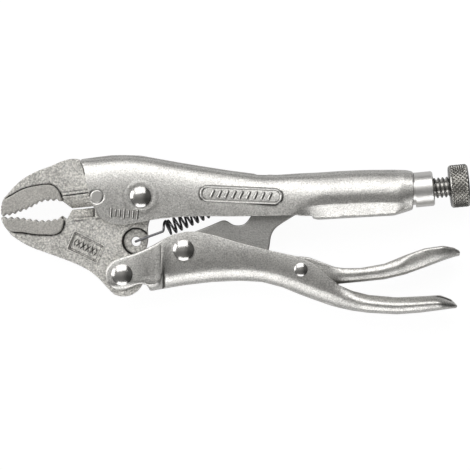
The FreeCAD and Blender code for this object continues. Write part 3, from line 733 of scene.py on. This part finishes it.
def fixed_jaw():
    made = remeshed("upper_jaw", "fixed_jaw_forging", 0.12)
    relax(made, 7, 0.25)
    raise_flats(made, rails(((-19.4, 0.65), (-11.5, 1.6)), ((-19.2, -0.2), (-11.5, 0.75))))
    roughen(made, 0.022, 0.7, 21, off_pad)
    # Ten rounds let the painted shade reach wide round the pads and rails.
    mark_hollows(made, 10)
    grind_pads(made)
    finish_piece(made, "fixed_handle", "forged_jaw", "upper_jaw")


PANEL = ((-16.5, -8.8), (-9.3, -12.4), (-11.1, -16.4), (-18.2, -13.0))


def panel_marks(x, y):
    """A rim round the sunk panel and a row of small lozenges in it."""
    rim = np.min([
        segment_distance(x, y, PANEL[index], PANEL[(index + 1) % 4]) for index in range(4)
    ], axis=0)
    lift = ridge(np.abs(rim - 0.1), 0.35, 0.14)
    centre = np.mean(PANEL, axis=0)
    across, up = turned_about(x, y, centre, -26.0)
    for place in (-2.5, -1.25, 0.0, 1.25, 2.5):
        lozenge = np.abs(across - place) / 0.55 + np.abs(up) / 1.15
        lift = lift + 0.32 * (1.0 - smoothstep(0.6, 1.0, lozenge))
    return lift


def moving_jaw():
    made = remeshed("lower_jaw", "moving_jaw_forging", 0.155)
    relax(made, 6, 0.25)
    refine(made, within(-19.0, -8.5, -17.2, -8.0), 1)
    raise_flats(made, panel_marks)
    raise_flats(made, rails(((-17.3, -5.7), (-9.9, -5.0))))
    roughen(made, 0.022, 0.7, 33, off_pad)
    # Ten rounds let the painted shade reach wide round the pads, rails and panel.
    mark_hollows(made, 10)
    grind_pads(made)
    finish_piece(made, "moving_jaw", "forged_jaw", "lower_jaw")


def moving_handle():
    made = remeshed("lower_handle", "moving_handle_skin", 0.22)
    relax(made, 12, 0.3)

    lean_in = 0.65
    top_drop = 0.35
    top_reach = 2.5

    def pressed(sheet, x, y, height):
        depth = sheet.from_bottom(x, y)
        fold = folded(depth, CHANNEL_FACE, BELLY_FOLD)
        bent = fold * np.maximum(height / CHANNEL_FACE, 1.0)
        ears = np.minimum(height, EAR_FACE - lean_in * smoothstep(*EARS_LEAN_IN, x))
        behind = smoothstep(*BEHIND_EARS, x)
        tail = smoothstep(*CHANNEL_TO_TAIL, x)
        front = ears + behind * (bent - ears)
        front = front - top_drop * np.exp(-sheet.from_top(x, y) / top_reach)
        tip = 1.0 - 0.3 * smoothstep(*TAIL_TIP, x)
        rounded = height * crowned(sheet, x, y, peak=0.55, over=0.42, under=0.2) * tip
        depth = depth * behind + tail * (sheet.from_rim(x, y) - depth * behind)
        return front + tail * (rounded - front), depth

    press(made, pressed)
    relax(made, 3, 0.3)
    mark_hollows(made)
    finish_piece(made, "moving_handle", "plated_sheet", "lower_handle")


def lever():
    made = remeshed("release_lever", "release_lever_skin", 0.18)
    relax(made, 10, 0.3)

    def pressed(sheet, x, y, height):
        tail = smoothstep(*LEVER_TAIL, x)
        spoon = smoothstep(*LEVER_SPOON, x)
        shape = crowned(sheet, x, y, peak=0.45 - 0.33 * spoon, over=0.5, under=0.26 - 0.16 * spoon)
        rounded = 1.0 + tail * (shape - 1.0)
        tip = 1.0 - 0.25 * smoothstep(*LEVER_TIP, x)
        return height * rounded * tip, sheet.from_rim(x, y)

    press(made, pressed)
    relax(made, 3, 0.3)
    mark_hollows(made)
    finish_piece(made, "lever", "plated_sheet", "release_lever")


def link():
    made = remeshed("toggle_link", "toggle_link_plate", 0.17)
    relax(made, 5, 0.2)
    roughen(made, 0.008, 0.8, 71)
    mark_hollows(made)
    finish_piece(made, "link", "dark_plate", "toggle_link")


# ---------------------------------------------------------------- turned pieces

def turned_surface(name, stations, around, start, radius_at):
    """A closed skin of rings about the screw's axis, from start in millimetres.
    radius_at(x, angle) gives the radius along it."""
    angles = np.linspace(0.0, 2.0 * math.pi, around, endpoint=False)
    side = np.array([-SCREW_WAY[1], SCREW_WAY[0], 0.0])
    up = np.array([0.0, 0.0, 1.0])
    rows = []
    for x in stations:
        radius = radius_at(x, angles)
        rows.append(start + x * SCREW_WAY + radius[:, None] * (
            np.cos(angles)[:, None] * side + np.sin(angles)[:, None] * up))
    vertices = np.concatenate(rows)
    faces = []
    for row in range(len(stations) - 1):
        base = row * around
        for step in range(around):
            following = (step + 1) % around
            faces.append((base + step, base + around + step,
                          base + around + following, base + following))
    first = len(vertices)
    vertices = np.concatenate([vertices, [start + stations[0] * SCREW_WAY,
                                          start + stations[-1] * SCREW_WAY]])
    last_row = (len(stations) - 1) * around
    for step in range(around):
        following = (step + 1) % around
        faces.append((first, step, following))
        faces.append((first + 1, last_row + following, last_row + step))
    return mesh_object(name, vertices, faces)


def triangle_wave(value):
    return 2.0 * np.abs(value - np.floor(value + 0.5))


def span_on_screw(node_name):
    """Where a piece on the screw's axis starts and ends along it, and its radius."""
    points = local(coordinates(frame["nodes"][node_name].data))
    pivot = joint_place("knob_turn")
    along = (points - pivot) @ SCREW_WAY
    away = np.linalg.norm(points - pivot - along[:, None] * SCREW_WAY, axis=1)
    return pivot, along.min(), along.max(), away.max()


THREAD_PITCH = 25.4 / 24.0
THREAD_DEPTH = 0.52
THREAD_PLAY = 0.02
TIP_TAPER = 0.6
TIP_DEPTH = 0.55


def screw():
    pivot, low, _, radius = span_on_screw("adjusting_screw")
    knob_low = span_on_screw("adjusting_knob")[1]
    stations = np.arange(low, knob_low, 0.085)

    def radius_at(x, angles):
        wave = triangle_wave(x / THREAD_PITCH - angles / (2.0 * math.pi))
        groove = THREAD_DEPTH * smoothstep(0.12, 0.95, wave)
        tip = TIP_DEPTH * (1.0 - smoothstep(low, low + TIP_TAPER, x))
        return radius - THREAD_PLAY - np.maximum(groove, tip)

    made = turned_surface("adjusting_screw_thread", stations, 72, pivot, radius_at)
    mark_hollows(made, 4)
    finish_piece(made, "screw", "thread", "adjusting_screw")


def knob():
    """A knob with a diamond knurl between two smooth rounded rims. Each flat end has a ring
    at its rim and one at its hub, a hair further out."""
    pivot, low, high, radius = span_on_screw("adjusting_knob")
    rim = 0.8
    around = 31
    lead = 1.09
    depth = 0.48
    inset = 0.02
    hair = 0.001
    hub = 0.55
    stations = np.concatenate([
        [low + inset, low + inset + hair],
        np.arange(low + 2.0 * inset, high - 2.0 * inset, 0.07),
        [high - inset - hair, high - inset],
    ])

    def radius_at(x, angles):
        turns = angles * around / (2.0 * math.pi)
        one = triangle_wave(x / lead + turns)
        other = triangle_wave(x / lead - turns)
        cut = depth * (1.0 - np.minimum(smoothstep(0.0, 0.7, one), smoothstep(0.0, 0.7, other)))
        from_end = min(x - low, high - x)
        rounding = rim - math.sqrt(max(rim ** 2 - max(rim - from_end, 0.0) ** 2, 0.0))
        fade = smoothstep(0.35, 0.95, np.full_like(angles, from_end))
        share = 1.0 if from_end > inset + hair / 2.0 else hub
        return (radius - rounding - cut * fade) * share

    made = turned_surface("adjusting_knob_knurled", stations, around * 12, pivot, radius_at)
    mark_hollows(made, 4)
    finish_piece(made, "knob", "knob", "adjusting_knob")


# ---------------------------------------------------------------- spring

def tube(name, path, radius, sides=12):
    """A round wire along a path, with a flat end at each end."""
    path = np.asarray(path, float)
    ways = np.gradient(path, axis=0)
    ways /= np.linalg.norm(ways, axis=1)[:, None]
    side = np.cross(ways[0], [0.3, 0.2, 1.0])
    rows = []
    for here, way in zip(path, ways):
        side = side - (side @ way) * way
        side /= np.linalg.norm(side)
        other = np.cross(way, side)
        turns = np.linspace(0.0, 2.0 * math.pi, sides, endpoint=False)
        rows.append(here + radius * (np.cos(turns)[:, None] * side
                                     + np.sin(turns)[:, None] * other))
    faces = []
    for row in range(len(path) - 1):
        base = row * sides
        for step in range(sides):
            following = (step + 1) % sides
            faces.append((base + step, base + following,
                          base + sides + following, base + sides + step))
    faces.append(tuple(range(sides))[::-1])
    faces.append(tuple((len(path) - 1) * sides + step for step in range(sides)))
    return mesh_object(name, np.concatenate(rows), faces)


def smooth_path(points, per_span=8):
    """A curve through every point, evenly eased between them."""
    points = np.asarray(points, float)
    padded = np.concatenate([[2 * points[0] - points[1]], points, [2 * points[-1] - points[-2]]])
    made = []
    for index in range(1, len(padded) - 2):
        before, here, after, beyond = padded[index - 1:index + 3]
        for part in np.linspace(0.0, 1.0, per_span, endpoint=False):
            made.append(0.5 * (2 * here + (after - before) * part
                               + (2 * before - 5 * here + 4 * after - beyond) * part ** 2
                               + (3 * here - before - 3 * after + beyond) * part ** 3))
    made.append(points[-1])
    return np.array(made)


def spring():
    """A coil with a straight hooked end in the moving jaw and one over the handle's tab."""
    wire = 0.31
    coil_radius = 1.72
    turns = 11.0
    pitch = 1.49
    lean = math.radians(24.3)
    way = np.array([math.cos(lean), math.sin(lean), 0.0])
    side = np.array([-math.sin(lean), math.cos(lean), 0.0])
    up = np.array([0.0, 0.0, 1.0])
    coil_start = np.array([6.9, -7.85, 0.0])
    start_angle = math.radians(200)
    angles = start_angle + np.arange(0.0, turns * 2.0 * math.pi, 2.0 * math.pi / 28)
    coil = [
        coil_start + way * pitch * (angle - start_angle) / (2.0 * math.pi)
        + coil_radius * (math.cos(angle) * side + math.sin(angle) * up)
        for angle in angles
    ]
    seat = JAW_FACE - SEAT_DEPTH + wire + 0.03
    front = smooth_path([
        (-1.2, -11.2, 0.7), (-1.2, -11.2, seat - 0.5), (-0.95, -11.1, seat),
        (2.0, -10.0, seat), (4.9, -8.95, seat), (5.6, -8.55, seat - 0.1),
        (5.75, -7.6, seat - 0.25), (5.8, -6.7, 1.5), (6.2, -6.1, 0.4),
        (6.35, -6.9, -1.0), tuple(coil[0]),
    ])
    back = smooth_path([
        tuple(coil[-1]), (23.6, 0.9, -1.0), (24.6, 0.6, 0.0), (26.5, 1.1, 0.0),
        (28.6, 1.9, 0.0), (29.5, 2.5, 0.0), (29.4, 3.7, 0.0),
    ])
    made = tube("jaw_spring_wire", np.concatenate([front[:-1], coil, back[1:]]), wire)
    to_row_frame(made, "spring")
    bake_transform(made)
    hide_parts("jaw_spring")


# ---------------------------------------------------------------- CAD pieces that stay

def keep_cad_pieces():
    kept = {
        "jaw_pivot_rivet": "rivet", "handle_rivet": "rivet", "link_rivet": "rivet",
        "release_rivet": "rivet", "upper_jaw_rivet": "rivet_flush", "screw_bushing": "bushing",
    }
    for name, material in kept.items():
        piece = frame["nodes"][name]
        piece.data.materials.clear()
        piece.data.materials.append(MATERIALS[material])


# ---------------------------------------------------------------- studio

def eased_range(tree, source, from_low, from_high, to_low, to_high):
    made = tree.nodes.new("ShaderNodeMapRange")
    made.interpolation_type = "SMOOTHSTEP"
    made.inputs["From Min"].default_value = from_low
    made.inputs["From Max"].default_value = from_high
    made.inputs["To Min"].default_value = to_low
    made.inputs["To Max"].default_value = to_high
    tree.links.new(source, made.inputs["Value"])
    return made.outputs["Result"]


def multiplied(tree, first, *others):
    for other in others:
        product = tree.nodes.new("ShaderNodeMath")
        product.operation = "MULTIPLY"
        tree.links.new(first, product.inputs[0])
        tree.links.new(other, product.inputs[1])
        first = product.outputs["Value"]
    return first


def floor():
    """A pale table that glows. The camera sees it evenly pale; the tool mirrors it as a dimmer
    one, a painted pool of glow that fades away from the middle, which keeps its outlines clear.
    """
    reach = 3.0
    corners = [(-reach, -reach, 0.0), (reach, -reach, 0.0), (reach, reach, 0.0),
               (-reach, reach, 0.0)]
    made = mesh_object("studio_floor", corners, [(0, 1, 2, 3)])
    material, tree, surface = shader("floor_paper", (0.1, 0.1, 0.1), 0.9, 0.0)
    away = tree.nodes.new("ShaderNodeVectorMath")
    away.operation = "LENGTH"
    tree.links.new(object_place(tree), away.inputs[0])
    # Painted pool of glow for all but camera rays: 0.5 within 0.06 m of the middle, easing to 0.08
    # by 0.16 m.
    reflected_glow_pool = eased_range(tree, away.outputs["Value"], 0.06, 0.16, 0.5, 0.08)
    seen = tree.nodes.new("ShaderNodeMix")
    seen.inputs["B"].default_value = 0.95
    tree.links.new(tree.nodes.new("ShaderNodeLightPath").outputs["Is Camera Ray"],
                   seen.inputs["Factor"])
    tree.links.new(reflected_glow_pool, seen.inputs["A"])
    # The floor's paleness is its own glow, not the lamps' light.
    surface.inputs["Emission Color"].default_value = (1.0, 1.0, 1.0, 1.0)
    tree.links.new(seen.outputs["Result"], surface.inputs["Emission Strength"])
    surface.inputs["Specular IOR Level"].default_value = 0.0
    made.data.materials.append(material)


def softbox(name, heading, elevation, width, height, radiance):
    """A soft light one metre away, facing the tool. heading is counted from +Y towards -X."""
    turn, lift = math.radians(heading), math.radians(elevation)
    place = Vector((-math.sin(turn) * math.cos(lift), math.cos(turn) * math.cos(lift),
                    math.sin(lift)))
    light = bpy.data.lights.new(name, "AREA")
    light.shape = "RECTANGLE"
    light.size = width
    light.size_y = height
    light.energy = radiance * math.pi * width * height
    made = bpy.data.objects.new(name, light)
    bpy.context.scene.collection.objects.link(made)
    made.location = place
    made.rotation_euler = (-place).to_track_quat("-Z", "Y").to_euler()


def studio():
    """A dim room, darkest along the horizon and to the knob's side, and three softboxes."""
    room = bpy.data.worlds.new("studio")
    bpy.context.scene.world = room
    room.use_nodes = True
    tree = room.node_tree
    background = tree.nodes["Background"]
    way = tree.nodes.new("ShaderNodeSeparateXYZ")
    tree.links.new(tree.nodes.new("ShaderNodeTexCoord").outputs["Generated"], way.inputs["Vector"])
    above = eased_range(tree, way.outputs["Z"], 0.15, 0.5, 0.1, 0.45)
    side = eased_range(tree, way.outputs["X"], -0.1, 0.6, 1.0, 0.3)
    front = eased_range(tree, way.outputs["Y"], -0.3, 0.2, 0.5, 1.0)
    tree.links.new(multiplied(tree, above, side, front), background.inputs["Strength"])
    background.inputs["Color"].default_value = (1.0, 0.99, 0.97, 1.0)
    softbox("back_softbox", 9.0, 47.0, 1.15, 0.72, 1.95)
    softbox("left_window", 76.0, 21.0, 0.7, 0.66, 2.6)
    softbox("front_softbox", 177.0, 25.5, 0.95, 0.52, 2.3)
    bpy.context.scene.view_settings.view_transform = "Standard"


def camera():
    """Straight down, far away, with the whole tool filling the width of the frame."""
    distance = 1.2
    width_seen = 0.118
    made = bpy.data.cameras.new("camera")
    holder = bpy.data.objects.new("camera", made)
    bpy.context.scene.collection.objects.link(holder)
    bpy.context.scene.camera = holder
    made.sensor_width = 36.0
    made.lens = made.sensor_width * distance / width_seen
    made.clip_end = 10.0
    middle = world([23.6, -9.6, 0.0])
    holder.location = (middle[0], middle[1], middle[2] + distance)


fixed_handle()
fixed_jaw()
moving_jaw()
moving_handle()
lever()
link()
screw()
knob()
spring()
keep_cad_pieces()
floor()
studio()
camera()
